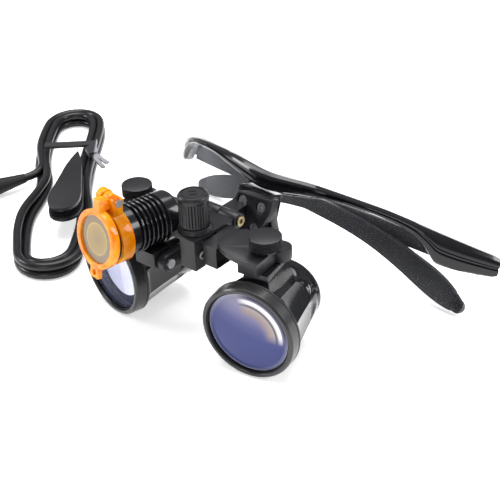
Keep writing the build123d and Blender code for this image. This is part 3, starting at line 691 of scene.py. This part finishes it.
def barrel_shell(spot, name):
    outer = [(11.4, 5.5), (15.6, 5.5), (BODY_FRONT_R, 5.8)]
    for i in range(47):
        s = BODY_FROM + i * 0.46
        taper = ((s - BODY_FROM) / (BODY_TO - BODY_FROM)) ** 0.86
        outer.append((BODY_FRONT_R - (BODY_FRONT_R - BODY_BACK_R) * taper, s))
    outer += [(12.3, 27.6), (12.35, 28.4), (12.3, 29.4), (12.0, 30.3), (11.3, 30.9), (10.4, 31.1)]
    outer += [(9.0, 31.1), (9.0, 29.0), (10.2, 29.0)]
    lathe("barrel_%s_made" % name, outer + [outer[0]], spot, "barrel_" + name, ["barrel_" + name], "barrel",
          count=280, radius=flute, angle=40)


def barrel_saddle(spot, name):
    """The barrel's foot under its arm: rectangles (half width, front, back, height) about the pivot."""
    s = POST_Y / math.cos(math.radians(TOE))
    foot = [[(x, y + s, z) for x, y in ((-a, -b), (a, -b), (a, c), (-a, c))] for a, b, c, z in (
        (6.6, 9.4, 7.0, 9.0), (6.2, 9.0, 6.6, 13.5), (4.6, 7.4, 6.0, 17.0), (4.3, 7.0, 5.8, 18.8),
        (4.0, 6.7, 5.5, 19.05))]
    loft("barrel_saddle_%s" % name, foot, spot, "barrel_" + name, [], "barrel", angle=25)


def objective(spot, name, mat):
    """Front lens: a ball's cap in front, and flat behind."""
    dome = [(0.0, LENS_FRONT)]
    ball = (LENS_R ** 2 + LENS_BULGE ** 2) / (2 * LENS_BULGE)
    for i in range(1, 25):
        r = LENS_R * i / 24
        dome.append((r, LENS_FRONT + ball - math.sqrt(ball ** 2 - r * r)))
    dome += [(LENS_R, 4.2), (0.0, 4.2)]
    lathe("objective_%s_made" % name, dome, spot, "barrel_" + name, ["objective_" + name], mat)


def inner_ring(spot, name):
    thin = [(14.85, 0.9), (15.1, 0.9), (15.1, 4.2), (14.85, 4.2)]
    lathe("inner_ring_%s_made" % name, thin + [thin[0]], spot, "barrel_" + name, ["inner_ring_" + name],
          "innerring")


for side, name, lens in ((1, "left", "coated"), (-1, "right", "seen")):
    spot = barrel_at(side)
    front_ring(spot, name)
    barrel_shell(spot, name)
    barrel_saddle(spot, name)
    objective(spot, name, lens)
    inner_ring(spot, name)
# The right barrel's liner, which glows with painted light.
liner = [(11.25, 4.6), (11.3, 4.6), (10.2, 27.5), (8.9, 27.6), (8.9, 27.5), (10.1, 27.4)]
lathe("barrel_liner_right", liner + [liner[0]], barrel_at(-1), "barrel_right", [], "liner")


# ---------------------------------------------------------------- knobs
THUMB_GROOVES, KNOB_GROOVES = 36, 30


def knurled(r, s, t):
    """A thumb knob's side: two sets of slanting grooves that cross."""
    if r < 5.2 or not 42.75 < s < 46.1:
        return r
    about, lean = t * THUMB_GROOVES / (2 * math.pi), s * 0.85
    a = abs((about + lean) % 1 - 0.5)
    b = abs((about - lean) % 1 - 0.5)
    return r - 0.5 * (1 - min(1.0, 3.0 * min(a, b)))


def thumb_knob(side, name):
    rows = [(0.0, 46.55), (5.0, 46.55), (5.3, 46.45), (5.4, 46.3)]
    rows += [(5.4, 46.05 - i * 0.11) for i in range(31)]
    rows += [(4.7, 42.5), (4.2, 42.2), (1.5, 42.2), (1.5, 31.6), (0.0, 31.6)]
    lathe("thumb_knob_%s_made" % name, rows, at(side * POST_X, POST_Y, 0), "thumb_" + name,
          ["thumb_knob_" + name], "knob", axis="Z", count=352, radius=knurled, angle=28)


def ribbed(r, s, t):
    """The centre knob's side: upright grooves."""
    if r < 4.9 or not 44.4 < s < 53.0:
        return r
    wave = abs((t * KNOB_GROOVES / (2 * math.pi)) % 1 - 0.5) * 2
    return r - 0.26 * (1 - min(1.0, wave * 2.2))


def centre_knob():
    spot = at(KNOB_X, KNOB_Y, 0)
    rows = [(0.0, 55.35), (3.7, 55.35), (3.75, 55.1), (4.0, 55.1), (4.05, 55.4), (4.5, 55.35), (5.0, 55.0)]
    rows += [(5.35, 54.4), (5.4, 53.8), (5.3, 53.3)]
    rows += [(5.12 + 0.1 * (52.9 - s) / 8.5, s) for s in [52.9 - i * 0.28 for i in range(31)]]
    rows += [(5.2, 44.1), (1.5, 44.05), (1.5, 35.0), (0.0, 35.0)]
    lathe("centre_knob_made", rows, spot, "centre_knob", ["centre_knob"], "knob", axis="Z",
          count=360, radius=ribbed, angle=28)
    for i, x in enumerate((-0.9, 1.1)):
        foot = ((-0.22, -1.3), (0.22, -1.3), (0.22, 1.3), (-0.22, 1.3))
        bar = [[(x + a, b, z) for a, b in foot] for z in (55.3, 55.42)]
        loft("knob_bar_%d" % i, bar, spot @ turn(-38, "Z"), "centre_knob", [], "innerring")
    collar = [(1.6, 41.6), (6.0, 41.6), (6.0, 42.2), (5.7, 42.9), (5.45, 43.7), (1.6, 43.75)]
    lathe("knob_collar_made", rounded(collar, 0.15) + [collar[0]], spot, "flip", ["knob_collar"], "block",
          axis="Z")


for side, name in ((1, "left"), (-1, "right")):
    thumb_knob(side, name)
    keep_cad("thumb_washer_" + name, "knob")
centre_knob()


# ---------------------------------------------------------------- headlight
FINS, FIN_FROM, FIN_PITCH = 6, -6.6, 1.85
CAP_ROUND = 1.4                           # rounding of the lamp's rear cap


def headlight():
    """The lamp's housing, front to back: open mouth, cooling fins, and a rounded cap."""
    rows = [(0.0, -7.4), (7.3, -7.4), (7.3, -15.3), (8.5, -15.3), (8.7, -15.1), (8.7, -7.0), (8.5, -6.7)]
    for i in range(FINS):
        s = FIN_FROM + i * FIN_PITCH
        rows += [(7.0, s), (7.0, s + 0.75), (8.5, s + 0.8), (8.7, s + 0.98), (8.7, s + 1.45), (8.5, s + 1.6)]
    rows += [(8.0, 4.5), (8.0, 5.1), (8.7, 5.2), (8.85, 5.4)]
    for i in range(9):
        a = math.pi / 2 * i / 8
        rows.append((7.45 + CAP_ROUND * math.cos(a), 9.6 + CAP_ROUND * math.sin(a)))
    rows += [(4.4, 11.0), (4.2, 10.7), (0.0, 10.7)]
    lathe("lamp_housing_made", rows, LAMP_AT, "headlight", ["lamp_housing", "lamp_cap"], "lamp",
          count=128, angle=28)


headlight()


# ---------------------------------------------------------------- glasses front
def line_at(points, u):
    """Smooth curve through (u, w) points, symmetric in u."""
    u = abs(u)
    pts = sorted((abs(a), b) for a, b in points)
    pts = [(-pts[1][0], pts[1][1])] + pts + [(2 * pts[-1][0] - pts[-2][0], 2 * pts[-1][1] - pts[-2][1])]
    for i in range(1, len(pts) - 2):
        (u0, w0), (u1, w1), (u2, w2), (u3, w3) = pts[i - 1:i + 3]
        if u <= u2 or i == len(pts) - 3:
            m1, m2 = (w2 - w0) / (u2 - u0), (w3 - w1) / (u3 - u1)
            f, h = (u - u1) / (u2 - u1), u2 - u1
            return ((1 + 2 * f) * (1 - f) ** 2 * w1 + f * (1 - f) ** 2 * h * m1 + f * f * (3 - 2 * f) * w2
                    + f * f * (f - 1) * h * m2)


# The brow's upper and lower line, seen from the front: (out from the middle, up).
TOP = [(77, -9.9), (75, -8.9), (54, -2.9), (42, -0.5), (20, 1.0), (0, 0.1)]
LOW = [(77, -16.0), (75.2, -16.7), (61, -15.4), (57.5, -11.2), (53, -6.8), (45, -3.9), (36, -2.7), (27, -2.4)]
LOW += [(16, -3.9), (0, -6.4)]
HALF_SPAN = 76.6                      # middle of the brow to its end
HINGE_U, HINGE_V = 73, 35.5           # the temple hinges: out from the middle, and back
WRAP = 2.1                            # power of the brow's curve seen from above


def brow():
    """The half-rim's upper bar: one outline (back from the bar's line, up), swept from end to end."""
    rows = []
    count = 150
    for i in range(count + 1):
        u = HALF_SPAN * (2 * i / count - 1)
        top, low = line_at(TOP, u), line_at(LOW, u)
        v = HINGE_V * (abs(u) / HINGE_U) ** WRAP
        slope = math.copysign(HINGE_V * WRAP / HINGE_U * (abs(u) / HINGE_U) ** (WRAP - 1), u)
        tilt = math.atan(slope)
        tall = top - low
        shape = ((2.3, top - 0.9), (1.6, top - 0.2), (0.5, top), (-0.8, top - 0.1), (-1.8, top - 0.16 * tall),
                 (-2.1, top - 0.32 * tall), (-2.0, top - 0.46 * tall), (-1.35, top - 0.52 * tall),
                 (-1.3, top - 0.58 * tall), (-1.95, top - 0.64 * tall), (-1.9, top - 0.8 * tall),
                 (-1.5, low + 0.06 * tall), (-0.7, low), (1.2, low + 0.1), (2.2, low + 0.5),
                 (2.4, top - 0.5 * tall))
        row = []
        for depth, w in shape:
            row.append((u - depth * math.sin(tilt), v + depth * math.cos(tilt), w))
        rows.append(row)
    loft("brow_frame_made", rows, FRAME_AT, "frame", ["brow_frame"], "brow", angle=24)


brow()


# ---------------------------------------------------------------- studio
def make_studio():
    """Pale floor, soft boxes and an even sky."""
    scene = bpy.context.scene
    bm = bmesh.new()
    for x, y in ((-3, -3), (3, -3), (3, 3), (-3, 3)):
        bm.verts.new((x, y, 0))
    bm.faces.new(bm.verts)
    me = bpy.data.meshes.new("floor")
    bm.to_mesh(me)
    bm.free()
    floor = bpy.data.objects.new("floor", me)
    scene.collection.objects.link(floor)
    n = Nodes("floor_pale")
    n.set(Base_Color=(0.93, 0.93, 0.93, 1.0), Roughness=0.8)
    n.set(Emission_Color=(1, 1, 1, 1), Emission_Strength=0.45)
    me.materials.append(n.mat)
    sky = bpy.data.worlds.new("studio")
    scene.world = sky
    sky.use_nodes = True
    tree = sky.node_tree
    coord = tree.nodes.new("ShaderNodeTexCoord")
    split = tree.nodes.new("ShaderNodeSeparateXYZ")
    ramp = tree.nodes.new("ShaderNodeValToRGB")
    ramp.color_ramp.elements[0].position = 0.0
    ramp.color_ramp.elements[0].color = (0.35, 0.36, 0.38, 1)
    ramp.color_ramp.elements[1].position = 0.7
    ramp.color_ramp.elements[1].color = (0.95, 0.96, 1.0, 1)
    tree.links.new(coord.outputs["Generated"], split.inputs["Vector"])
    tree.links.new(split.outputs["Z"], ramp.inputs["Fac"])
    tree.links.new(ramp.outputs["Color"], tree.nodes["Background"].inputs["Color"])
    tree.nodes["Background"].inputs["Strength"].default_value = 0.5
    for name, spot, aim, size, power in (
        ("softbox_top", (-0.15, 0.2, 1.0), (0, 0, 0.02), 0.9, 15.0),
        ("softbox_left", (-0.9, -0.5, 0.5), (0, 0, 0.02), 0.35, 5.0),
        ("softbox_right", (0.7, 0.5, 0.5), (0, 0, 0.02), 0.35, 4.5),
        ("softbox_front", (0.35, -0.9, 0.35), (0, 0, 0.03), 0.25, 1.5),
    ):
        data = bpy.data.lights.new(name, "AREA")
        data.shape = "SQUARE"
        data.size = size
        data.energy = power
        ob = bpy.data.objects.new(name, data)
        scene.collection.objects.link(ob)
        ob.location = spot
        ob.rotation_mode = "QUATERNION"
        ob.rotation_quaternion = (Vector(aim) - Vector(spot)).to_track_quat("-Z", "Y")
    scene.view_settings.view_transform = "Standard"


make_studio()
